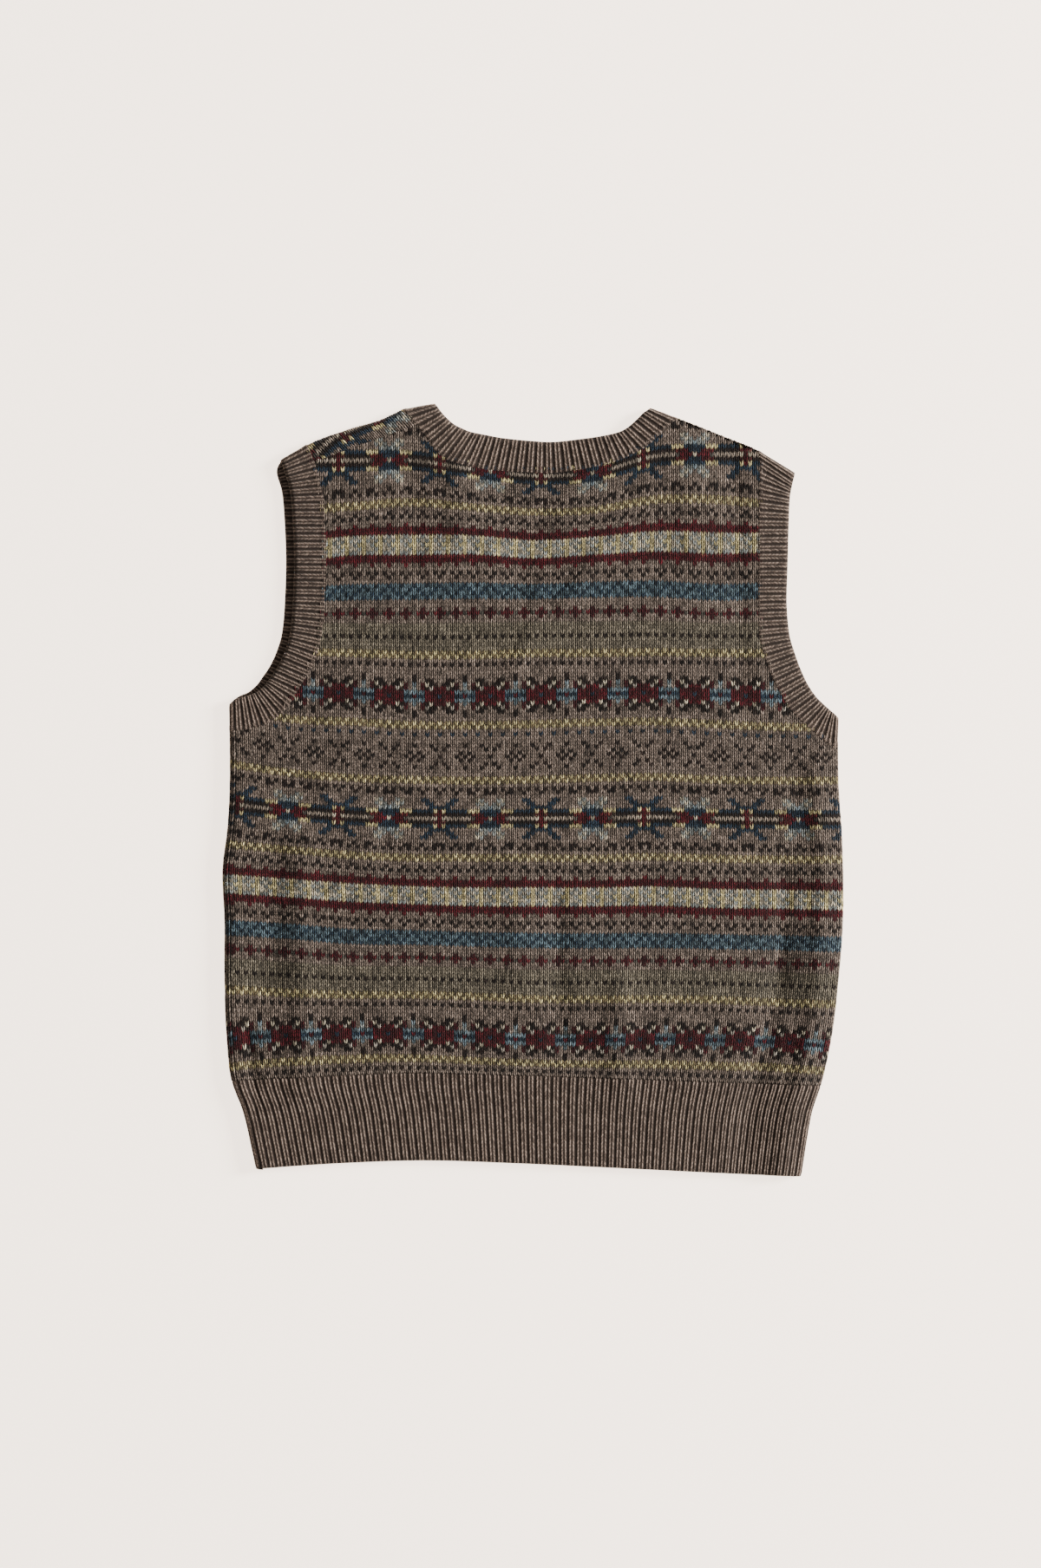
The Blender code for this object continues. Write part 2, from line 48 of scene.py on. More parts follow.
laidVest = {
    "middle": (-0.25, 1.0),       # of the outline, put at the origin
    "thickness": 6.8,             # of the two layers together
    "sideFolds": (                # height, left fold, right fold
        (-318.0, -227.5, 220.5), (-292.0, -233.0, 224.5), (-263.0, -240.0, 230.0),
        (-242.0, -248.0, 237.0), (-206.0, -252.5, 245.0), (-149.0, -254.5, 252.0),
        (-106.0, -254.5, 255.0), (-63.0, -256.0, 255.0), (-35.0, -252.5, 254.0),
        (-6.0, -250.5, 252.0), (22.0, -250.0, 251.0), (50.0, -250.5, 251.0),
        (71.0, -251.0, 252.0)),
    "shoulderFolds": {            # place across, height of the fold
        left: ((-208.5, 272.5), (-188.0, 284.5), (-153.5, 297.5), (-125.5, 306.0),
               (-107.0, 314.5), (-81.5, 319.5)),
        right: ((96.5, 315.5), (121.5, 306.0), (154.5, 293.0), (186.0, 280.0),
                (200.0, 272.0), (215.5, 262.0))},
    "hem": (                      # place across, hem seam, lower edge
        (-252.0, -239.0, -313.0), (-154.0, -234.5, -306.5), (-96.0, -232.5, -304.5),
        (-10.0, -234.5, -307.0), (61.0, -237.0, -310.3), (146.0, -240.0, -314.5),
        (240.0, -243.0, -318.5)),
    "armholes": {                 # seam x, seam y, edge x, edge y, from underarm to shoulder
        left: ((-250.5, 50.4, -251.0, 71.0), (-245.5, 50.4, -246.0, 74.5),
               (-228.5, 52.8, -235.0, 78.0), (-213.5, 59.5, -228.0, 81.0),
               (-203.0, 70.0, -221.5, 86.5), (-195.5, 82.0, -217.0, 92.5),
               (-188.0, 94.5, -209.5, 104.0), (-180.5, 109.0, -203.5, 118.0),
               (-175.5, 127.5, -200.0, 132.0), (-173.0, 154.5, -198.0, 155.5),
               (-172.0, 191.0, -197.0, 191.0), (-173.0, 227.5, -198.5, 227.5),
               (-175.5, 249.0, -200.5, 247.0), (-181.5, 270.5, -205.0, 262.5),
               (-188.0, 284.5, -208.5, 272.5)),
        right: ((251.0, 37.0, 252.0, 59.5), (246.0, 37.0, 248.5, 62.5),
                (226.5, 52.5, 240.5, 69.5), (215.0, 64.0, 232.5, 77.5),
                (206.5, 76.0, 225.5, 88.0), (198.5, 91.0, 219.5, 101.0),
                (191.5, 109.0, 214.0, 116.5), (187.0, 127.5, 210.5, 130.0),
                (186.0, 154.5, 208.5, 155.0), (186.0, 187.0, 209.3, 187.0),
                (186.0, 215.5, 210.0, 215.5), (186.5, 245.5, 211.0, 240.0),
                (187.0, 269.0, 213.0, 252.0), (186.0, 280.0, 215.5, 262.0))},
    "frontShift": {left: 7.0, right: -1.2},   # of the front's armholes outwards
    "shiftFade": 18.0,            # from either end of an armhole
    "foldReach": 8.0,             # of a shoulder fold past its ends
    "backNeck": (                 # the same, from the left shoulder to the right one
        (-107.0, 314.5, -81.5, 319.5), (-96.0, 301.5, -76.0, 312.0),
        (-88.5, 293.0, -71.0, 306.5), (-83.0, 284.0, -65.0, 301.5),
        (-76.5, 277.0, -59.0, 298.5), (-67.0, 271.8, -51.5, 295.5),
        (-49.5, 267.5, -39.5, 293.0), (-30.5, 264.6, -24.5, 290.3),
        (-3.5, 263.2, -1.5, 288.0), (18.0, 262.8, 16.5, 287.2),
        (43.5, 266.5, 38.0, 289.5), (62.0, 270.5, 55.0, 291.8),
        (80.5, 277.5, 69.0, 294.8), (93.0, 284.8, 77.5, 299.0),
        (101.5, 292.5, 85.0, 305.5), (108.0, 300.0, 90.5, 311.0),
        (118.0, 307.3, 96.5, 315.5)),
    "neckPoint": (-9.0, 87.0, -9.0, 123.0),   # bottom of the front's V
    "creases": (                  # both ends, half width, height
        (-190.0, -49.0, -190.0, -235.0, 12.0, 1.6), (-216.0, -63.0, -218.0, -149.0, 11.0, -1.2),
        (20.0, -95.0, 22.0, -200.0, 9.0, -1.5), (-14.0, -92.0, -11.0, -149.0, 13.0, 1.0),
        (70.0, -165.0, 71.0, -228.0, 12.0, 2.0), (206.0, -80.0, 202.0, -149.0, 9.0, -1.7),
        (202.0, -149.0, 173.0, -295.0, 11.0, -1.9), (57.0, 201.0, 35.0, 165.0, 8.0, 1.0),
        (35.0, 165.0, 0.0, 120.0, 7.0, 0.6), (3.0, 144.0, -18.0, 94.0, 8.0, 0.9),
        (-62.0, 258.0, -62.0, 201.0, 10.0, 1.0), (132.0, 280.0, 132.0, 208.0, 13.0, 0.9),
        (164.0, 270.0, 171.0, 94.0, 9.0, -1.2), (-100.0, 251.0, -100.0, 194.0, 11.0, -1.0),
        (-235.0, -205.0, -229.0, -262.0, 5.0, -1.3), (-150.0, 40.0, -170.0, 0.0, 12.0, 0.7),
        (-120.0, -20.0, -120.0, -75.0, 10.0, -0.7)),
    "sideRolls": {left: (0.8, 9.0, 9.0), right: (2.5, 17.0, 11.0)},   # height, depth, half width
    "rollTop": (40.0, 30.0),      # where the side rolls fade out
    "neckSag": (1.5, 0.40, 30.0),  # depth, spread of the V, fade
}


def ease(share):
    share = np.clip(share, 0.0, 1.0)
    return share * share * (3.0 - 2.0 * share)


def softCurve(table, column, place):    # a smooth line through a table's points
    knots = np.array([row[0] for row in table], float)
    values = np.array([row[column] for row in table], float)
    slopes = np.gradient(values, knots)
    low = np.clip(np.searchsorted(knots, place) - 1, 0, len(knots) - 2)
    step = knots[low + 1] - knots[low]
    t = np.clip((place - knots[low]) / step, 0.0, 1.0)
    a, b = values[low], values[low + 1]
    p, q = slopes[low] * step, slopes[low + 1] * step
    return a + t * (p + t * (3 * (b - a) - 2 * p - q + t * (2 * (a - b) + p + q)))


def sideFold(side, y):
    return softCurve(laidVest["sideFolds"], 1 if side == left else 2, y)


def shoulderFold(side, x):
    return softCurve(laidVest["shoulderFolds"][side], 1, x)


def loftAt(x, y):                        # height of the upper layer away from its folds
    height = np.full(np.shape(x), laidVest["thickness"])
    for x1, y1, x2, y2, halfWidth, rise in laidVest["creases"]:
        length = math.hypot(x2 - x1, y2 - y1)
        along = ((x - x1) * (x2 - x1) + (y - y1) * (y2 - y1)) / length
        across = ((x - x1) * (y2 - y1) - (y - y1) * (x2 - x1)) / length
        past = np.maximum(np.maximum(-along, along - length), 0.0)
        height += rise * np.exp(-(across / halfWidth) ** 2 - (past / (2 * halfWidth)) ** 2)
    rollTop, rollFade = laidVest["rollTop"]
    for side, (rise, place, halfWidth) in laidVest["sideRolls"].items():
        depth = side * (sideFold(side, y) - x) - place
        height += rise * ease((rollTop - y) / rollFade) * np.exp(-(depth / halfWidth) ** 2)
    sag, spread, fade = laidVest["neckSag"]
    pointX, pointY = laidVest["neckPoint"][0], laidVest["neckPoint"][3]
    return height - sag * ease((spread * (y - pointY) - abs(x - pointX)) / fade)


def nearestFold(x, y):                   # how far in from it, and the way out to it
    depth = np.full(np.shape(x), np.inf)
    reach = laidVest["foldReach"]
    outX, outY = np.zeros(np.shape(x)), np.zeros(np.shape(x))
    for side in (left, right):
        inside = side * (sideFold(side, y) - x)
        closer = inside < depth
        depth = np.where(closer, inside, depth)
        outX, outY = np.where(closer, side, outX), np.where(closer, 0.0, outY)
        ends = laidVest["shoulderFolds"][side]
        slope = (ends[-1][1] - ends[0][1]) / (ends[-1][0] - ends[0][0])
        steep = math.hypot(1.0, slope)
        inside = (shoulderFold(side, x) - y) / steep
        closer = (inside < depth) & (x > ends[0][0] - reach) & (x < ends[-1][0] + reach)
        depth = np.where(closer, inside, depth)
        outX = np.where(closer, -slope / steep, outX)
        outY = np.where(closer, 1.0 / steep, outY)
    return depth, outX, outY


def turnUnder(x, y, layer):              # from places along the cloth to places seen from above
    depth, outX, outY = nearestFold(x, y)
    radius = 0.5 * loftAt(x + outX * depth, y + outY * depth)
    slack = (0.5 * math.pi - 1.0) * radius
    run = depth + slack
    onRoll = abs(run) < 0.5 * math.pi * radius
    rolled = radius * (1.0 - np.cos(run / radius))
    moved = np.where(onRoll, rolled, abs(run) - slack) - depth
    return x - outX * moved, y - outY * moved, np.where(run < 0.0, -layer, layer)


def skinPoint(x, y, layer, rise, crest):     # a point on the outside of the cloth, in metres
    depth, outX, outY = nearestFold(x, y)
    height = loftAt(x, y)
    radius = 0.5 * height
    level = 1.0 - np.clip(depth / radius, 0.0, 1.0)
    lift = layer * np.sqrt(1.0 - level * level)
    z = radius * (1.0 + lift)
    half = 0.5                           # of the millimetre that a slope is taken over
    slopeX = (loftAt(x + half, y) - loftAt(x - half, y)) * np.maximum(lift, 0.0)
    slopeY = (loftAt(x, y + half) - loftAt(x, y - half)) * np.maximum(lift, 0.0)
    normal = np.stack([outX * level - slopeX, outY * level - slopeY, lift], axis=-1)
    normal /= np.linalg.norm(normal, axis=-1, keepdims=True)
    rise = rise - crest * np.maximum(-lift, 0.0)      # what faces the floor rests on it
    point = np.stack([x, y, z], axis=-1) + normal * rise[..., None]
    point[..., 0] -= laidVest["middle"][0]
    point[..., 1] -= laidVest["middle"][1]
    return point * mm, normal


def insideLoop(x, y, loop):              # which places lie inside a closed line
    found = np.zeros(np.shape(x), bool)
    for (x1, y1), (x2, y2) in zip(loop, loop[1:] + loop[:1]):
        crosses = (y1 > y) != (y2 > y)
        where = x1 + (y - y1) * (x2 - x1) / (y2 - y1 if y2 != y1 else 1e-9)
        found ^= crosses & (x < where)
    return found


# The yarns, as red, green and blue out of 255, and the bands charted in them.
yarns = {
    "G": (150, 131, 117), "E": (142, 130, 110), "O": (126, 108, 78), "D": (34, 20, 16),
    "R": (94, 19, 30), "M": (76, 22, 28), "N": (38, 56, 72), "B": (104, 124, 133),
    "L": (160, 164, 158), "W": (224, 208, 178), "T": (172, 154, 136), "Y": (240, 220, 158),
    "g": (92, 86, 78), "w": (184, 172, 156), "l": (134, 150, 156),
}
starChart = (                            # out from the middle of a cross to that of a star
    "GDGDGDGDGDGDG", "DDGGDGGDDGGGD", "GGGGGGGGGGGGG", "GGGNNGGGGWLGG", "GGNNGGGGGLWLG",
    "NNNGGGGGGGLLl", "RYNNNNNYYYNNN", "RMDDDDDDRRRNN", "RWTTTTTTgRRRW", "RMDDDDDDRRRNN",
    "RYNNNNNYYYNNN", "NNNGGGGGGGLLl", "GGNNGGGGGLWLG", "GGGNNGGGGWLGG", "GGGGGGGGGGGGG",
    "DGGGDGGDDGGDD", "GDGDGDGDGDGDG")
crossChart = (
    "DGGGGGG", "DGGDDGG", "GGMwDDG", "lGMDWRM", "BlBRRMR", "RNNRRMN", "BlBRRMR", "LGMDwRM",
    "lGMWDDG", "DGGDDGG", "DGGGGGG")
creamChart = (
    "RGGG", "RRMR", "RRRR", "LWYL", "WLYW", "LYYW", "WLYL", "LWYW", "RRRR", "RRMR", "RGGG")
diamondChart = (
    "GGDGGGDGGGDG", "GDGGGGGGGGGD", "GGGGGDGDGGGG", "DGGGDGDGDGGG", "GGGGGDGDGGGG",
    "GDGGGGGGGGGD", "GGDGGGDGGGDG")
knitBands = (                            # course in the repeat, rows, first stitch, mirrored
    (-5, crossChart, 6, True), (8, ("GD",)), (10, ("YO", "OY")),
    (12, ("EE", "EE", "EE", "ED", "EE", "EE", "EE")), (20, ("MGGG", "MRgR", "MGGG")),
    (25, ("NBBNBB", "BBNBNB", "BNBBBN", "NBBNBB")), (30, ("DGGG", "GDGD")), (33, creamChart),
    (45, ("GDGD", "DGGG")), (48, ("OY", "YO")), (51, starChart, 0, True), (69, ("YO", "OY")),
    (73, diamondChart), (82, ("NGG",)), (84, ("OY", "YO")))
firstBands = ((1, ("GD",)), (3, ("YO", "OY")))   # of the plain courses over the rib
knitChart = {"firstStitch": -80, "stitches": 160, "courses": 190, "repeat": 92,
             "firstRepeat": 10, "plainCourses": 5}


def chartBand(chart, course, rows, firstStitch=0, mirrored=False):
    stitches = np.arange(knitChart["stitches"]) + knitChart["firstStitch"] - firstStitch
    for step, row in enumerate(rows):
        if mirrored:
            row = row + row[-2:0:-1]
        if 0 <= course + step < len(chart):
            chart[course + step] = np.array(list(row))[stitches % len(row)]


def chartKnit():                         # the letter of every stitch
    chart = np.full((knitChart["courses"], knitChart["stitches"]), "G")
    for turn in (-1, 0, 1):
        base = knitChart["firstRepeat"] + turn * knitChart["repeat"]
        for course, *band in knitBands:
            chartBand(chart, base + course, *band)
    chart[:knitChart["plainCourses"]] = "G"
    for course, rows in firstBands:
        chartBand(chart, course, rows)
    return chart


def toLinear(colour):
    share = np.asarray(colour, float) / 255.0
    return np.where(share <= 0.04045, share / 12.92, ((share + 0.055) / 1.055) ** 2.4)


# Where the courses run: the course, then its height at each place across.
courseLines = {
    "across": (-250.0, -200.0, -150.0, -100.0, -50.0, 0.0, 50.0, 100.0, 150.0, 200.0, 250.0),
    "lines": (
        (0.0, (-239.0, -236.5, -234.3, -232.6, -233.6, -234.9, -236.6, -238.3, -240.2, -241.6,
               -243.4)),
        (4.0, (-227.5, -223.2, -221.0, -220.4, -222.5, -224.6, -225.4, -225.4, -226.8, -228.2,
               -231.8)),
        (21.0, (-163.9, -166.8, -168.2, -168.2, -169.6, -171.8, -171.8, -171.8, -172.5, -174.6,
                -176.1)),
        (37.0, (-113.2, -116.1, -120.4, -121.1, -122.5, -123.6, -123.9, -123.6, -124.6, -125.4,
                -126.8)),
        (48.5, (-76.8, -80.4, -83.9, -86.1, -87.5, -87.5, -87.5, -86.8, -88.9, -89.6, -90.4)),
        (59.0, (-44.6, -48.9, -53.2, -55.4, -55.4, -55.4, -56.1, -54.6, -56.1, -56.8, -56.8)),
        (69.5, (-10.9, -17.0, -21.0, -22.9, -23.2, -23.0, -22.7, -21.8, -23.0, -23.8, -23.9)),
        (80.0, (21.8, 14.6, 10.4, 8.9, 8.2, 8.9, 10.4, 11.1, 8.9, 8.2, 8.2)),
        (95.0, (68.9, 58.9, 56.8, 53.9, 53.9, 54.6, 56.1, 56.8, 54.6, 52.5, 51.8)),
        (113.0, (115.4, 114.6, 113.2, 111.8, 111.8, 113.2, 113.2, 113.9, 113.2, 113.2, 113.2)),
        (129.0, (158.2, 160.4, 163.2, 163.9, 164.6, 163.9, 165.4, 166.1, 163.2, 164.6, 164.6)),
        (140.5, (193.9, 196.1, 201.8, 202.5, 202.5, 198.9, 201.8, 205.4, 203.9, 204.6, 204.6)),
        (151.0, (229.6, 231.1, 233.9, 237.5, 233.2, 229.6, 231.1, 239.6, 239.6, 235.4, 233.9)),
        (161.5, (271.8, 271.8, 271.8, 271.8, 264.6, 259.6, 261.8, 275.4, 276.8, 276.8, 275.4)),
        (190.0, (362.0, 362.0, 362.0, 360.0, 350.0, 346.0, 349.0, 362.0, 365.0, 365.0, 364.0))),
}
waleLines = {                            # stitches at the folds and at a wale that hangs straight
    "folds": (-74.55, 70.55), "straight": -6.0, "straightX": -14.9, "foldSlack": 1.94,
    "underarm": 71.0,
}


def courseHeight(x, course):
    heights = []
    for number, line in courseLines["lines"]:
        heights.append(softCurve(tuple(zip(courseLines["across"], line)), 1, x))
    numbers = np.array([number for number, line in courseLines["lines"]])
    heights = np.stack(heights)
    slopes = np.gradient(heights, numbers, axis=0)
    low = np.clip(np.searchsorted(numbers, course) - 1, 0, len(numbers) - 2)
    step = numbers[low + 1] - numbers[low]
    t = (course - numbers[low]) / step
    pick = lambda table, which: np.take_along_axis(table, which[None], axis=0)[0]
    a, b = pick(heights, low), pick(heights, low + 1)
    p, q = pick(slopes, low) * step, pick(slopes, low + 1) * step
    return a + t * (p + t * (3 * (b - a) - 2 * p - q + t * (2 * (a - b) + p + q)))


def walePlace(stitch, y):
    y = np.minimum(y, waleLines["underarm"])
    slack, (leftStitch, rightStitch) = waleLines["foldSlack"], waleLines["folds"]
    middle, middleX = waleLines["straight"], waleLines["straightX"]
    leftX, rightX = sideFold(left, y) - slack, sideFold(right, y) + slack
    leftPlace = middleX + (stitch - middle) * (middleX - leftX) / (middle - leftStitch)
    rightPlace = middleX + (stitch - middle) * (rightX - middleX) / (rightStitch - middle)
    return np.where(stitch < middle, leftPlace, rightPlace)


def makeGrid(columns, rows):             # a flat sheet of points, row after row
    mesh = bmesh.new()
    bmesh.ops.create_grid(mesh, x_segments=columns - 1, y_segments=rows - 1, size=1.0)
    return mesh


def addPiece(name, mesh):
    data = bpy.data.meshes.new(name)
    mesh.to_mesh(data)
    mesh.free()
    piece = bpy.data.objects.new(name, data)
    bpy.context.scene.collection.objects.link(piece)
    return piece


def setCorners(data, name, values):      # values for each corner of each face
    if values.shape[1] == 2:
        layer = data.uv_layers.new(name=name)
        layer.data.foreach_set("uv", values.astype(np.float32).ravel())
    else:
        layer = data.color_attributes.new(name=name, type="FLOAT_COLOR", domain="CORNER")
        layer.data.foreach_set("color", values.astype(np.float32).ravel())


panelKnit = {                            # one stitch of the panels
    "perStitch": 4, "courses": 186,
    "stitches": {upper: (-72.5, 72.5), lower: (-76.5, 68.5)},
    "rise": (-0.34, 0.30, -0.10, 0.30),  # edge, leg, middle, leg
    "slant": (0.42, 0.0, -0.42, 0.0),    # of a course's line, in courses
    "lowest": -0.2,                      # how far the first line dips, in courses
    "tuck": -0.8,                        # of the edges that are sewn together
    "uneven": (0.16, 0.26, 0.13),        # across, along and up, at random
    "variation": 0.07,                   # of a stitch's brightness, at random
    "widest": 7.0,                       # a wider face is stretched over a fold, and left out
    "rounds": 3,                         # until places and courses agree
    "placeSeed": 11, "shadeSeed": 7,
    "uvStart": 100.5,                    # puts the stitches' edges at whole numbers over zero
}
frontLift = {                            # how much higher the front's courses run to a shoulder
    "lift": ((-170.0, 28.0), (-96.0, 41.0), (-40.0, 16.0), (174.0, -8.0)),
    "from": 95.0, "over": 66.0,
}


def toWorld(x, y, z=0.0):
    return (x - laidVest["middle"][0]) * mm, (y - laidVest["middle"][1]) * mm, z * mm


def cutAtSeam(mesh, seam, layer, keepLow):   # ends one layer of a panel on a straight line
    (x1, y1), (x2, y2) = seam["line"]
    lowX, lowY = toWorld(min(x1, x2) - seam["reach"], min(y1, y2) - seam["reach"])[:2]
    highX, highY = toWorld(max(x1, x2) + seam["reach"], max(y1, y2) + seam["reach"])[:2]
    level = 0.5 * laidVest["thickness"] * mm
    faces = []
    for face in mesh.faces:
        x, y, z = face.calc_center_median()
        if lowX < x < highX and lowY < y < highY and (z > level) == (layer == upper):
            faces.append(face)
    parts = dict.fromkeys(faces)         # keeps their order, so that every run is the same
    for face in faces:
        parts.update(dict.fromkeys(face.edges))
        parts.update(dict.fromkeys(face.verts))
    bmesh.ops.bisect_plane(mesh, geom=list(parts), dist=tiny, plane_co=toWorld(x1, y1),
                           plane_no=(y1 - y2, x2 - x1, 0.0), clear_outer=keepLow,
                           clear_inner=not keepLow)


def makePanel(name, layer, regions, seams, courseLift=None):
    count, courses = panelKnit["perStitch"], panelKnit["courses"]
    firstStitch, lastStitch = panelKnit["stitches"][layer]
    steps = np.arange(-1, int((lastStitch - firstStitch) * count) + 2)
    stitches = firstStitch + steps / count
    phase = steps % count
    lines = np.arange(courses + 1, dtype=float)
    stitch, course = np.meshgrid(stitches, lines)
    slanted = course + np.array(panelKnit["slant"])[phase][None, :]
    slanted = np.where(course == 0, np.maximum(slanted, panelKnit["lowest"]), slanted)
    x = walePlace(stitch, np.zeros_like(stitch))
    for _ in range(panelKnit["rounds"]):
        y = courseHeight(x, slanted)
        if courseLift:
            shift = np.interp(x, *zip(*courseLift["lift"]))
            y = y + shift * ease((slanted - courseLift["from"]) / courseLift["over"])
        x = walePlace(stitch, y)
    dice = np.random.default_rng(panelKnit["placeSeed"] + layer)
    across, along, up = panelKnit["uneven"]
    x, y = x + dice.uniform(-across, across, x.shape), y + dice.uniform(-along, along, x.shape)
    planX, planY, planLayer = turnUnder(x, y, np.full(x.shape, layer))
    rise = np.array(panelKnit["rise"])[phase][None, :] + dice.uniform(-up, up, x.shape)
    rise[:, [0, -1]] = panelKnit["tuck"]
    points, _ = skinPoint(planX, planY, planLayer, rise, max(panelKnit["rise"]))

    columns = len(stitches)
    piece = addPiece(name, makeGrid(columns, len(lines)))
    data = piece.data
    data.vertices.foreach_set("co", points.reshape(-1).astype(np.float32))
    corners = np.empty(len(data.loops), int)
    data.loops.foreach_get("vertex_index", corners)
    lowest = corners.reshape(-1, 4).min(axis=1)
    row, column = lowest // columns, lowest % columns
    numbers = stitches + panelKnit["uvStart"]
    uv = np.stack([numbers[corners % columns], lines[corners // columns]], axis=1)
    setCorners(data, "stitches", uv)
    setCorners(data, "OFBake", (uv - (numbers[0], 0.0)) / (np.ptp(stitches), courses))

    chart = chartKnit()
    wale = np.floor(stitches[column] + 0.5 / count + 0.5).astype(int) - knitChart["firstStitch"]
    letters = chart[row, wale]
    colours = np.zeros((len(letters), 4))
    colours[:, 3] = 1.0
    for letter, colour in yarns.items():
        colours[letters == letter, :3] = toLinear(colour)
    dice = np.random.default_rng(panelKnit["shadeSeed"])
    shades = dice.normal(1.0, panelKnit["variation"], chart.shape)
    colours[:, :3] *= shades[row, wale][:, None]
    setCorners(data, "yarn", np.repeat(np.clip(colours, 0, 1), 4, axis=0))
    knitted = np.zeros((courses + 2, columns + 1, 4))    # of each face, with a rim all round
    knitted[row + 1, column + 1] = colours
    knitted[[0, -1]], knitted[:, [0, -1]] = knitted[[1, -2]], knitted[:, [1, -2]]
    blended = 0.25 * (knitted[1:, 1:] + knitted[:-1, 1:] + knitted[1:, :-1] + knitted[:-1, :-1])
    setCorners(data, "yarnBlend", blended[corners // columns, corners % columns])

    faceX, faceY, faceLayer = (plan.ravel()[corners].reshape(-1, 4)
                               for plan in (planX, planY, planLayer))
    centreX, centreY, layerSum = faceX.mean(axis=1), faceY.mean(axis=1), faceLayer.sum(axis=1)
    onTop = (layerSum > 0) | ((layerSum == 0) & (layer == upper))
    keep = np.zeros(len(onTop), bool)
    for at, loops in regions.items():
        for loop in loops:
            keep |= (onTop == (at == upper)) & insideLoop(centreX, centreY, loop)
    keep &= np.ptp(faceX, axis=1) < panelKnit["widest"]
    mesh = bmesh.new()
    mesh.from_mesh(data)
    mesh.faces.ensure_lookup_table()
    spare = [mesh.faces[index] for index in np.flatnonzero(~keep)]
    bmesh.ops.delete(mesh, geom=spare, context="FACES")
    for seam in seams:
        cutAtSeam(mesh, *seam)
    if layer == lower:
        bmesh.ops.reverse_faces(mesh, faces=mesh.faces[:])
    mesh.to_mesh(data)
    mesh.free()
    data.shade_smooth()
    return piece


def armholeLine(side, layer, cover):     # a panel's edge, so far under the band
    stations = laidVest["armholes"][side]
    line = []
    for x1, y1, x2, y2 in stations:
        shift = 0.0
        if layer == lower:
            near = min(math.dist((x1, y1), end[:2]) for end in (stations[0], stations[-1]))
            fade = float(ease(near / laidVest["shiftFade"]))
            shift = side * laidVest["frontShift"][side] * fade
        share = cover / math.dist((x1, y1), (x2, y2))
        line.append((x1 + shift + (x2 - x1) * share, y1 + (y2 - y1) * share))
    return line


def neckLine(layer, cover):
    if layer == upper:
        rows = laidVest["backNeck"]
    else:
        rows = (laidVest["backNeck"][0], laidVest["neckPoint"], laidVest["backNeck"][-1])
    line = []
    for x1, y1, x2, y2 in rows:
        share = cover / math.dist((x1, y1), (x2, y2))
        line.append((x1 + (x2 - x1) * share, y1 + (y2 - y1) * share))
    return line


panelEdges = {                           # how far the bands cover them, and the shoulder seams
    "cover": 2.0,
    left: {"line": ((-181.5, 270.5), (-96.0, 301.5)), "reach": 16.0},
    right: {"line": ((184.2, 275.2), (116.1, 302.6)), "reach": 9.0},
    "beyond": (300.0, 330.0, -260.0),    # past the sides, the shoulders and the hem seam
    "clear": 2.0,                        # of an armhole's top
    "backUnder": ((225.0, 39.0), (114.5, 255.0, 188.0)),   # at the right side and shoulder
    "frontOver": (-225.0, 52.4),         # at the left side
}


def mainLoop(layer):                     # the outline of the panel that is mostly in a layer
    cover, (side, top, bottom) = panelEdges["cover"], panelEdges["beyond"]
    leftArm, rightArm = armholeLine(left, layer, cover), armholeLine(right, layer, cover)
    neck = neckLine(layer, cover)
    clear = panelEdges["clear"]
    main = [(-side, bottom), (-side, leftArm[0][1])] + leftArm
    main += [(leftArm[-1][0] - clear, top), (neck[0][0], top)] + neck
    main += [(neck[-1][0], top), (rightArm[-1][0] + clear, top)] + rightArm[::-1]
    main += [(side, rightArm[0][1]), (side, bottom)]
    return main


def box(lowX, lowY, highX, highY):
    return [(lowX, lowY), (highX, lowY), (highX, highY), (lowX, highY)]


farSide, farTop, farBottom = panelEdges["beyond"]
(underX, underTop), (tabLeft, tabBottom, tabRight) = panelEdges["backUnder"]
overX, overTop = panelEdges["frontOver"]
shoulderArm = armholeLine(left, upper, panelEdges["cover"])[-2:]
shoulderNeck = neckLine(upper, panelEdges["cover"])[:3]
leftShoulder = shoulderArm + [(shoulderArm[-1][0], farTop), (shoulderNeck[0][0], farTop)]
backRegions = {upper: [mainLoop(upper)],
               lower: [box(underX, farBottom, farSide, underTop),
                       box(tabLeft, tabBottom, tabRight, farTop)]}
frontRegions = {lower: [mainLoop(lower)],
                upper: [box(-farSide, farBottom, overX, overTop), leftShoulder + shoulderNeck]}

print("panels: knitting the back")
backPanel = makePanel("vestBack", upper, backRegions,
                      ((panelEdges[left], upper, True), (panelEdges[right], lower, False)))
print("panels: knitting the front")
frontPanel = makePanel("vestFront", lower, frontRegions,
                       ((panelEdges[left], upper, False), (panelEdges[right], lower, True)),
                       frontLift)

ribKnit = {                              # one rib: a knit column between two purl ones
    "phases": (0.0, 0.13, 0.26, 0.38, 0.50, 0.62, 0.74, 0.87),
    "rise": (-0.30, -0.14, 0.30, 0.14, -0.02, 0.14, 0.30, -0.14),
    "wall": 2.2, "innerRows": 3, "innerFrom": 0.9,
    "inside": 1.1,                       # painted light: the inner wall's colour is multiplied by this, lifting walls that lie in the shade of the layer above
    "uneven": 0.05, "ridge": 0.25,
    "apart": 0.02,                       # least space between two columns, in ribs
    "turnOut": 0.006,                    # of the rows that turn to the inside
    "seamRow": (0.0, 0.5, 0.3), "freeRow": (1.0, 0.3, 0.6),
    "ridgeRows": ((0.035, -1.0, 0.3), (0.085, -1.1, 0.3), (0.14, -0.6, 0.7), (0.19, 0.0, 1.0)),
    "turnRows": ((1.0, 1.1, -1.0), (0.995, 2.0, 0.0)),
}


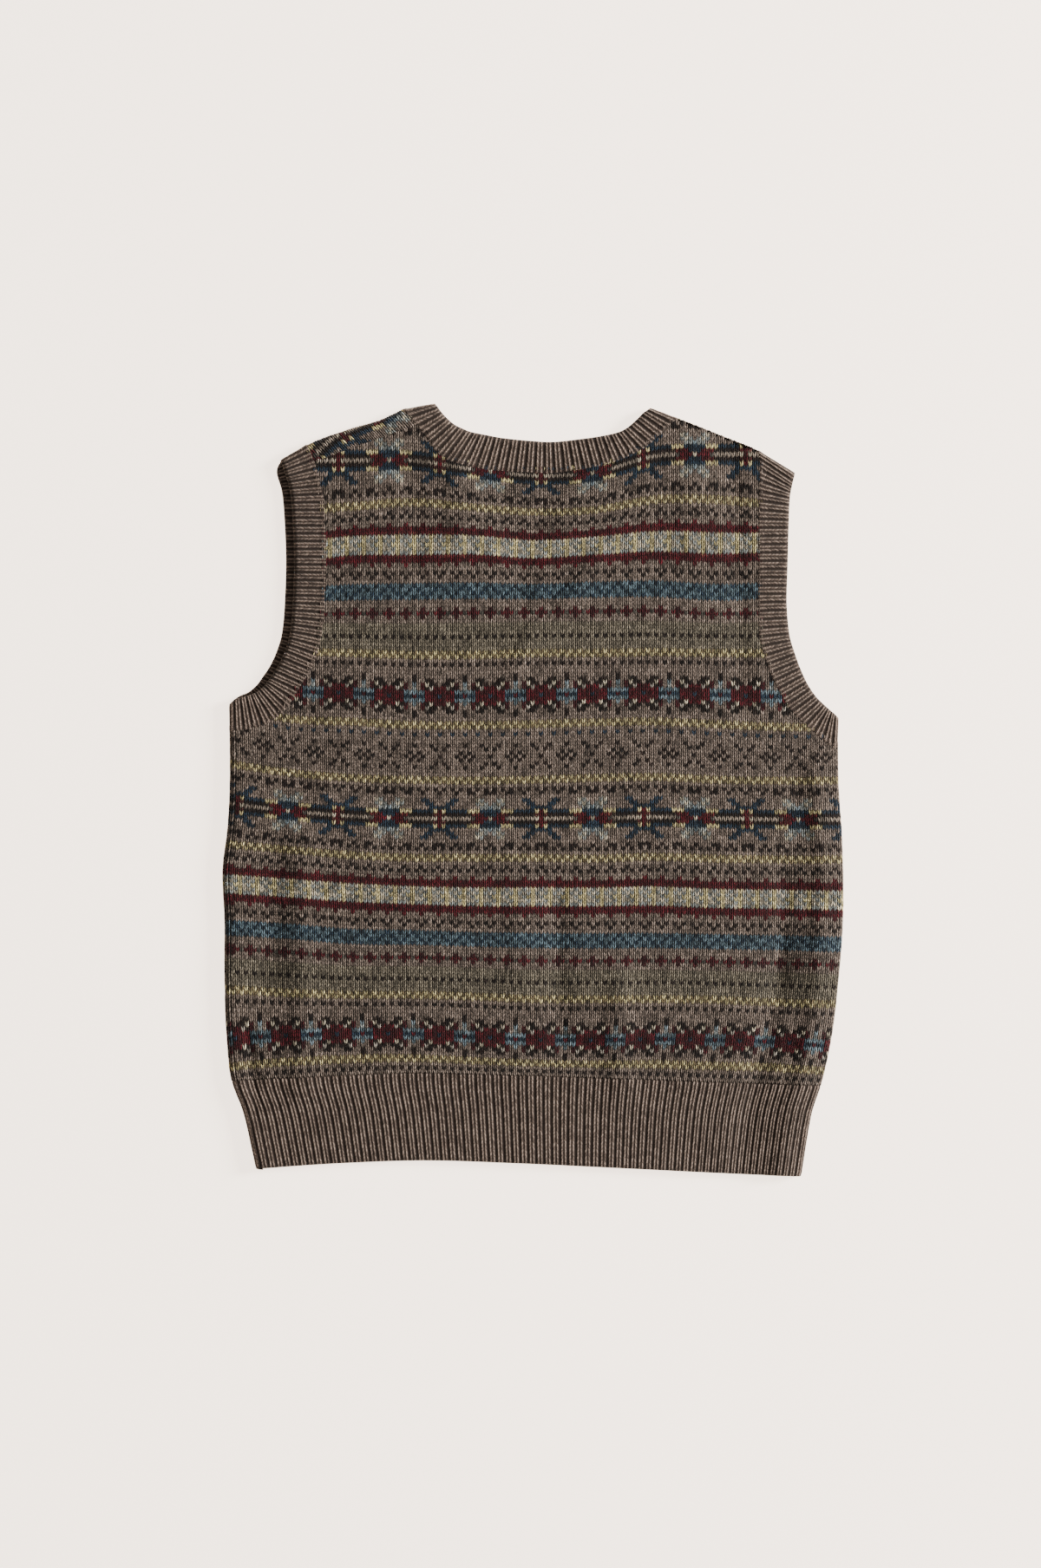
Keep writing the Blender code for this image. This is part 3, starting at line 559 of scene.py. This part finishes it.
def ribWall(courses, ridge=0.0):         # share of the way across, depth and rise of each row
    rows = [(share, 0.0, 1.0) for share in np.linspace(0.0, 1.0, courses + 1)]
    if ridge:
        rows[1:2] = [(share, depth * ridge, rise) for share, depth, rise in ribKnit["ridgeRows"]]
    rows[0], rows[-1] = ribKnit["seamRow"], ribKnit["freeRow"]
    rows += ribKnit["turnRows"]
    rows += [(share, ribKnit["wall"], 0.0)
             for share in np.linspace(ribKnit["innerFrom"], 0.0, ribKnit["innerRows"])]
    return rows + [rows[0]]


def ribPiece(name, ribs, wall, placesAt, closed):   # ribs: where each column lies
    phase = np.mod(ribs, 1.0)
    risePlace = ribKnit["phases"] + (1.0,)
    riseTable = ribKnit["rise"] + (ribKnit["rise"][0],)
    rise = np.interp(phase, risePlace, riseTable)
    dice = np.random.default_rng(len(ribs))
    points = []
    for share, depth, strength in wall:
        x, y, layer = placesAt(share + (ribKnit["turnOut"] if strength < 0 else 0.0))
        lift = rise * max(strength, 0.0) - depth
        if strength > 0:
            uneven = dice.uniform(-ribKnit["uneven"], ribKnit["uneven"], len(ribs))
            uneven[-1] = uneven[0]       # closes a loop
            lift = lift + uneven
        points.append(skinPoint(x, y, layer, lift, max(ribKnit["rise"]))[0])
    points[-1] = points[0]               # closes the wall
    points = np.stack(points)
    piece = addPiece(name, makeGrid(len(ribs), len(wall)))
    data = piece.data
    data.vertices.foreach_set("co", points.reshape(-1).astype(np.float32))
    corners = np.empty(len(data.loops), int)
    data.loops.foreach_get("vertex_index", corners)
    row, column = corners // len(ribs), corners % len(ribs)
    setCorners(data, "stitches", np.stack([ribs[column], row], axis=1))
    setCorners(data, "OFBake", np.stack([(ribs[column] - ribs[0]) / (ribs[-1] - ribs[0]),
                                         row / (len(wall) - 1)], axis=1))
    # painted light: the inner wall rows get a brighter colour factor than the outer ones, kept in
    # the shade attribute
    outside = np.array([1.0 if strength > 0 else ribKnit["inside"] for _, _, strength in wall])
    setCorners(data, "shade", np.stack([outside[row]] * 3 + [np.ones(len(row))], axis=1))
    mesh = bmesh.new()
    mesh.from_mesh(data)
    bmesh.ops.remove_doubles(mesh, verts=mesh.verts[:], dist=tiny)
    if not closed:
        ends = [edge for edge in mesh.edges if edge.is_boundary]
        bmesh.ops.holes_fill(mesh, edges=ends, sides=0)
    bmesh.ops.recalc_face_normals(mesh, faces=mesh.faces[:])
    mesh.to_mesh(data)
    mesh.free()
    data.shade_smooth()
    return piece


def ribColumns(first, last):             # the columns of the ribs between two places
    columns = [rib + phase for rib in range(int(first) - 1, int(last) + 1)
               for phase in ribKnit["phases"]]
    apart = ribKnit["apart"]
    return np.array([first] + [c for c in columns if first + apart < c < last - apart] + [last])


hemRib = {
    "courses": 23, "over": 1.2, "rounds": 3,
    "ribs": {upper: (0.75, 75.0), lower: (-1.25, 72.5)},
    "start": (-250.0, 240.0),            # first guess of the ends, in x
    "spacing": ((-0.05, -3.5), (0.0, 0.0), (0.4758, 33.4), (0.6424, 45.1),
                (0.8091, 57.4), (1.0, 73.4), (1.05, 77.6)),   # share across, rib
}


def makeHem(name, layer):
    ribs = ribColumns(*hemRib["ribs"][layer])
    across = np.interp(ribs, [row[1] for row in hemRib["spacing"]],
                       [row[0] for row in hemRib["spacing"]])

    def placesAt(share):
        x = np.interp(across, (0.0, 1.0), hemRib["start"])
        for _ in range(hemRib["rounds"]):
            seam = softCurve(laidVest["hem"], 1, x) + hemRib["over"]
            y = seam + (softCurve(laidVest["hem"], 2, x) - seam) * share
            leftX = sideFold(left, y) - waleLines["foldSlack"]
            rightX = sideFold(right, y) + waleLines["foldSlack"]
            x = leftX + (rightX - leftX) * across
        return turnUnder(x, y, np.full(x.shape, layer))

    return ribPiece(name, ribs, ribWall(hemRib["courses"]), placesAt, False)


def bandRows(rows, straight=False):      # a band's stations as functions of the share along
    rows = np.array(rows, float)
    if straight:
        return lambda share: [np.interp(share * (len(rows) - 1), range(len(rows)), rows[:, c])
                              for c in range(4)]
    table = [(index, *row) for index, row in enumerate(rows)]
    return lambda share: [softCurve(table, c + 1, share * (len(rows) - 1)) for c in range(4)]


bandKnit = {"courses": 8, "over": 1.6, "neckRibs": 31, left: 40, right: 36, "steps": 600}


def makeBand(name, rowsAbove, rowsBelow, ribCount):
    def placesAt(turn, share):           # turn runs from 0 to 1 above and on to 2 below
        above = turn <= 1.0
        along = 0.5 - 0.5 * np.cos(np.pi * np.where(above, turn, 2.0 - turn))
        places = [np.where(above, a, b) for a, b in zip(rowsAbove(along), rowsBelow(along))]
        x1, y1, x2, y2 = places
        width = np.hypot(x2 - x1, y2 - y1)
        share = share + (share - 1.0) * bandKnit["over"] / width
        return x1 + (x2 - x1) * share, y1 + (y2 - y1) * share, np.where(above, upper, lower)

    turns = np.linspace(0.0, 2.0, 2 * bandKnit["steps"] + 1)
    x, y, layer = placesAt(turns, 0.5)
    line = skinPoint(x, y, layer, np.zeros(x.shape), 0.0)[0]
    steps = np.linalg.norm(np.diff(line, axis=0), axis=1)
    run = np.concatenate([[0.0], np.cumsum(steps)])
    total = round(ribCount * run[-1] / run[bandKnit["steps"]])
    ribs = ribColumns(0.0, float(total))
    turnAt = np.interp(ribs / total * run[-1], run, turns)
    wall = ribWall(bandKnit["courses"], ribKnit["ridge"])
    return ribPiece(name, ribs, wall, lambda share: placesAt(turnAt, share), True)


def frontArmhole(side):                  # the stations of the front's armhole
    moved = []
    for (x, y), row in zip(armholeLine(side, lower, 0.0), laidVest["armholes"][side]):
        moved.append((x, y, row[2] + x - row[0], row[3]))
    return moved


print("ribs: knitting the hem")
hemBack = makeHem("hemRibBack", upper)
hemFront = makeHem("hemRibFront", lower)
print("ribs: knitting the bands")
frontNeck = (laidVest["backNeck"][0], laidVest["neckPoint"], laidVest["backNeck"][-1])
neckBand = makeBand("neckRib", bandRows(laidVest["backNeck"]), bandRows(frontNeck, True),
                    bandKnit["neckRibs"])
armBands = {}
for side, name in ((left, "armholeRibLeft"), (right, "armholeRibRight")):
    armBands[side] = makeBand(name, bandRows(laidVest["armholes"][side]),
                              bandRows(frontArmhole(side)), bandKnit[side])


def maths(tree, operation, a, b=None, c=None):
    node = tree.nodes.new("ShaderNodeMath")
    node.operation = operation
    for socket, value in zip(node.inputs, (a, b, c)):
        if value is None:
            continue
        if isinstance(value, (int, float)):
            socket.default_value = value
        else:
            tree.links.new(value, socket)
    return node.outputs[0]


def colourMix(tree, blend, factor, a, b):
    node = tree.nodes.new("ShaderNodeMix")
    node.data_type = "RGBA"
    node.blend_type = blend
    for socket, value in ((node.inputs[0], factor), (node.inputs[6], a), (node.inputs[7], b)):
        if isinstance(value, (int, float)):
            socket.default_value = value
        elif isinstance(value, tuple):
            socket.default_value = (*value, 1.0)
        else:
            tree.links.new(value, socket)
    return node.outputs[2]


wool = {                                 # how the yarns take the light
    "rough": 0.95, "specular": 0.12,
    "sheen": 0.2, "sheenRough": 0.5, "sheenTint": (1.0, 0.94, 0.86),
    "speckle": {                         # scale and detail of each noise
        "fibres": (1000.0, 3.0), "patches": (34.0, 2.0),
        "across": (420.0, 1.0), "along": (330.0, 1.0)},
    "speckleRough": 0.65,
    "gapPaintedShade": 0.0, "crest": 0.61,           # painted shade: the yarn's colour is multiplied by the first between the legs of a stitch, rising to the second on them
    "legs": (0.46, 1.54),                # of one leg of a stitch against another
    "flecks": (-0.9, 3.8, 0.12),         # offset, scale and least
    "streakSize": (0.22, 3.7),           # across, and from course to course
    "streaks": (0.8, 0.6),               # how much they change the light, and what stays
    "patchLight": (0.5, 0.75),
    "wander": (0.1, 0.4),                # of the legs' lines, across and along, in stitches
    "blend": (-0.75, 1.5),               # how the next yarn's fibres show at an edge
    "legArch": 1.1,
    "courseArch": (0.7, 0.7, 0.3),       # power, then how much it changes and what stays
    "ribArch": (0.8, 0.6, 0.4), "ribSlant": -2.4,
    "ribLines": (                        # place across a rib, and how far its colour goes from the troughs' painted shade to the crests' painted highlight; also the rib's height
        (0.0, 0.0), (0.14, 0.04), (0.22, 0.6), (0.29, 1.0), (0.36, 0.6), (0.44, 0.14),
        (0.50, 0.08), (0.56, 0.14), (0.64, 0.6), (0.71, 1.0), (0.78, 0.6), (0.86, 0.04),
        (1.0, 0.0)),
    # the rib yarn's colour darkened by painted shade in the troughs, and lightened by painted
    # highlight on the crests
    "ribPaintedShade": (36, 27, 22), "ribPaintedHighlight": (132, 113, 100),
    "bump": 0.9, "ribBump": 0.8, "fibreHeight": 0.5,
}


def woolBase(name):                      # the shader, the stitch places and the fibres
    material = bpy.data.materials.new(name)
    material.use_nodes = True
    tree = material.node_tree
    shader = tree.nodes["Principled BSDF"]
    shader.inputs["Roughness"].default_value = wool["rough"]
    shader.inputs["Specular IOR Level"].default_value = wool["specular"]
    shader.inputs["Sheen Weight"].default_value = wool["sheen"]
    shader.inputs["Sheen Roughness"].default_value = wool["sheenRough"]
    shader.inputs["Sheen Tint"].default_value = (*wool["sheenTint"], 1.0)
    uv = tree.nodes.new("ShaderNodeUVMap")
    uv.uv_map = "stitches"
    parts = tree.nodes.new("ShaderNodeSeparateXYZ")
    tree.links.new(uv.outputs[0], parts.inputs[0])
    place = tree.nodes.new("ShaderNodeTexCoord")
    speckle = {}
    for use, (scale, detail) in wool["speckle"].items():
        noise = tree.nodes.new("ShaderNodeTexNoise")
        noise.inputs["Scale"].default_value = scale
        noise.inputs["Detail"].default_value = detail
        noise.inputs["Roughness"].default_value = wool["speckleRough"]
        tree.links.new(place.outputs["Object"], noise.inputs["Vector"])
        speckle[use] = noise.outputs[0]
    lines = []
    for part, use, reach in zip(parts.outputs, ("across", "along"), wool["wander"]):
        wander = maths(tree, "MULTIPLY_ADD", speckle[use], reach, -0.5 * reach)
        lines.append(maths(tree, "ADD", part, wander))
    across, along = lines
    return material, tree, shader, across, along, speckle


def arch(tree, value, power):            # up and down again once for each whole number
    wave = maths(tree, "SINE", maths(tree, "MULTIPLY", maths(tree, "FRACT", value), math.pi))
    return maths(tree, "POWER", maths(tree, "MAXIMUM", wave, 0.0), power)


def courseArch(tree, along, shape):      # the rounding of each course's stitches
    power, change, rest = shape
    return maths(tree, "MULTIPLY_ADD", arch(tree, along, power), change, rest)


def perLeg(tree, legs, along):           # a chance value for each leg of each stitch
    place = tree.nodes.new("ShaderNodeCombineXYZ")
    tree.links.new(maths(tree, "FLOOR", legs), place.inputs[0])
    tree.links.new(maths(tree, "FLOOR", along), place.inputs[1])
    chance = tree.nodes.new("ShaderNodeTexWhiteNoise")
    chance.noise_dimensions = "2D"
    tree.links.new(place.outputs[0], chance.inputs["Vector"])
    return chance.outputs["Value"]


def streak(tree, across, along):         # the yarn's own change of shade along a course
    place = tree.nodes.new("ShaderNodeCombineXYZ")
    sizeAcross, perCourse = wool["streakSize"]
    course = maths(tree, "FLOOR", along)
    tree.links.new(maths(tree, "MULTIPLY", across, sizeAcross), place.inputs[0])
    tree.links.new(maths(tree, "MULTIPLY", course, perCourse), place.inputs[1])
    noise = tree.nodes.new("ShaderNodeTexNoise")
    noise.noise_dimensions = "2D"
    noise.inputs["Scale"].default_value = 1.0
    noise.inputs["Detail"].default_value = 1.0
    tree.links.new(place.outputs[0], noise.inputs["Vector"])
    return noise.outputs[0]


def chanceLight(tree, legs, along, across, speckle):
    low, high = wool["legs"]
    light = maths(tree, "MULTIPLY_ADD", perLeg(tree, legs, along), high - low, low)
    offset, scale, least = wool["flecks"]
    flecks = maths(tree, "MULTIPLY_ADD", speckle["fibres"], scale, offset)
    light = maths(tree, "MULTIPLY", light, maths(tree, "MAXIMUM", flecks, least))
    for noise, (change, rest) in ((streak(tree, across, along), wool["streaks"]),
                                  (speckle["patches"], wool["patchLight"])):
        light = maths(tree, "MULTIPLY", light, maths(tree, "MULTIPLY_ADD", noise, change, rest))
    return light


def finishWool(tree, shader, colour, height, speckle, depth):
    bump = tree.nodes.new("ShaderNodeBump")
    bump.inputs["Strength"].default_value = 1.0
    bump.inputs["Distance"].default_value = depth * mm
    fuzz = maths(tree, "MULTIPLY_ADD", speckle["fibres"], wool["fibreHeight"], height)
    tree.links.new(fuzz, bump.inputs["Height"])
    tree.links.new(bump.outputs[0], shader.inputs["Normal"])
    tree.links.new(colour, shader.inputs["Base Color"])


def patternedWool(name):
    material, tree, shader, across, along, speckle = woolBase(name)
    yarn = tree.nodes.new("ShaderNodeAttribute")
    yarn.attribute_name = "yarn"
    near = tree.nodes.new("ShaderNodeAttribute")
    near.attribute_name = "yarnBlend"
    offset, scale = wool["blend"]
    share = maths(tree, "MULTIPLY_ADD", speckle["fibres"], scale, offset)
    fuzzy = colourMix(tree, "MIX", share, yarn.outputs["Color"], near.outputs["Color"])
    legs = maths(tree, "MULTIPLY", across, 2.0)
    height = maths(tree, "MULTIPLY", arch(tree, legs, wool["legArch"]),
                   courseArch(tree, along, wool["courseArch"]))
    # painted shade: the colour darkens from the legs' crests into the gaps between them
    light = maths(tree, "MULTIPLY_ADD", height, wool["crest"] - wool["gapPaintedShade"], wool["gapPaintedShade"])
    light = maths(tree, "MULTIPLY", light, chanceLight(tree, legs, along, across, speckle))
    colour = colourMix(tree, "MULTIPLY", 1.0, fuzzy, light)
    finishWool(tree, shader, colour, height, speckle, wool["bump"])
    return material


def ribbedWool(name, paintedShadeColour, paintedHighlightColour):
    material, tree, shader, across, along, speckle = woolBase(name)
    phase = maths(tree, "FRACT", across)
    ramp = tree.nodes.new("ShaderNodeValToRGB")
    tree.links.new(phase, ramp.inputs[0])
    while len(ramp.color_ramp.elements) < len(wool["ribLines"]):
        ramp.color_ramp.elements.new(0.5)
    for element, (place, level) in zip(ramp.color_ramp.elements, wool["ribLines"]):
        element.position = place
        element.color = (level, level, level, 1.0)
    beside = maths(tree, "ABSOLUTE", maths(tree, "SUBTRACT", phase, 0.5))
    slanted = maths(tree, "MULTIPLY_ADD", beside, wool["ribSlant"], along)
    body = courseArch(tree, slanted, wool["ribArch"])
    height = maths(tree, "MULTIPLY", ramp.outputs[0], body)
    legs = maths(tree, "MULTIPLY", across, 2.0)
    share = maths(tree, "MULTIPLY", height, chanceLight(tree, legs, slanted, across, speckle))
    # painted shade in the rib's troughs and painted highlight on its crests
    colour = colourMix(tree, "MIX", maths(tree, "MINIMUM", share, 1.0), paintedShadeColour, paintedHighlightColour)
    # painted light: the inner wall's colour is lifted by the shade attribute
    shade = tree.nodes.new("ShaderNodeAttribute")
    shade.attribute_name = "shade"
    colour = colourMix(tree, "MULTIPLY", 1.0, colour, shade.outputs["Color"])
    finishWool(tree, shader, colour, height, speckle, wool["ribBump"])
    return material


patterned = patternedWool("patternedWool")
ribbed = ribbedWool("ribbedWool", tuple(toLinear(wool["ribPaintedShade"])),
                    tuple(toLinear(wool["ribPaintedHighlight"])))
for piece in (backPanel, frontPanel):
    piece.data.materials.append(patterned)
for piece in (hemBack, hemFront, neckBand, armBands[left], armBands[right]):
    piece.data.materials.append(ribbed)

print("looks: fastening the pieces to the frame")
dressed = (                              # piece, node, slot, flat size, area, what it rests on
    (backPanel, "back_panel", "patterned_knit", (0.52, 0.57), 0.262, ["front_panel"]),
    (frontPanel, "front_panel", "patterned_knit_front", (0.52, 0.57), 0.245, []),
    (hemBack, "hem_rib_back", "rib_knit", (0.49, 0.073), None, ["hem_rib_front"]),
    (hemFront, "hem_rib_front", "rib_knit", (0.49, 0.073), None, []),
    (neckBand, "neckband", "rib_knit", (0.74, 0.028), None, ["back_panel"]),
    (armBands[left], "armhole_band_left", "rib_knit", (0.53, 0.026), None, ["back_panel"]),
    (armBands[right], "armhole_band_right", "rib_knit", (0.53, 0.026), None, ["back_panel"]),
)
for piece, node, slotName, flat, area, below in dressed:
    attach(piece, "root")
    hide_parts(node)
    print(piece.name, sum(len(face.vertices) - 2 for face in piece.data.polygons), "triangles")

room = {
    "floorColour": (0.87, 0.73, 0.61), "floorRough": 0.95, "floorGlow": 3.8, "floorSize": 12.0,
    "keyPower": 880.0, "keyPlace": (4.5, 1.1, 1.6), "keySize": 1.3,
    "skyColour": (1.0, 0.97, 0.93, 1.0), "sky": 0.42,
    "lens": 85.0, "sensor": 36.0, "centre": (-0.01046, 0.00436), "frameHeight": 1.2914,
}


def makeRoom():
    mesh = bmesh.new()
    bmesh.ops.create_grid(mesh, x_segments=1, y_segments=1, size=0.5 * room["floorSize"])
    floor = addPiece("paleFloor", mesh)
    material = bpy.data.materials.new("paleFloor")
    material.use_nodes = True
    shader = material.node_tree.nodes["Principled BSDF"]
    shader.inputs["Base Color"].default_value = (*room["floorColour"], 1.0)
    shader.inputs["Roughness"].default_value = room["floorRough"]
    shader.inputs["Emission Color"].default_value = (*room["floorColour"], 1.0)
    shader.inputs["Emission Strength"].default_value = room["floorGlow"]
    floor.data.materials.append(material)
    key = bpy.data.lights.new("keyLight", "AREA")
    key.energy = room["keyPower"]
    key.size = room["keySize"]
    lamp = bpy.data.objects.new("keyLight", key)
    lamp.location = room["keyPlace"]
    lamp.rotation_euler = (-lamp.location).to_track_quat("-Z", "Y").to_euler()
    bpy.context.scene.collection.objects.link(lamp)
    world = bpy.data.worlds.new("softSky")
    world.use_nodes = True
    sky = world.node_tree.nodes["Background"]
    sky.inputs[0].default_value = room["skyColour"]
    sky.inputs[1].default_value = room["sky"]
    bpy.context.scene.world = world
    data = bpy.data.cameras.new("cameraAbove")
    data.lens = room["lens"]
    data.sensor_width = room["sensor"]
    camera = bpy.data.objects.new("cameraAbove", data)
    height = room["frameHeight"] * room["lens"] / room["sensor"]
    camera.location = (*room["centre"], height + laidVest["thickness"] * mm)
    bpy.context.scene.collection.objects.link(camera)
    bpy.context.scene.camera = camera


makeRoom()
print("ready")
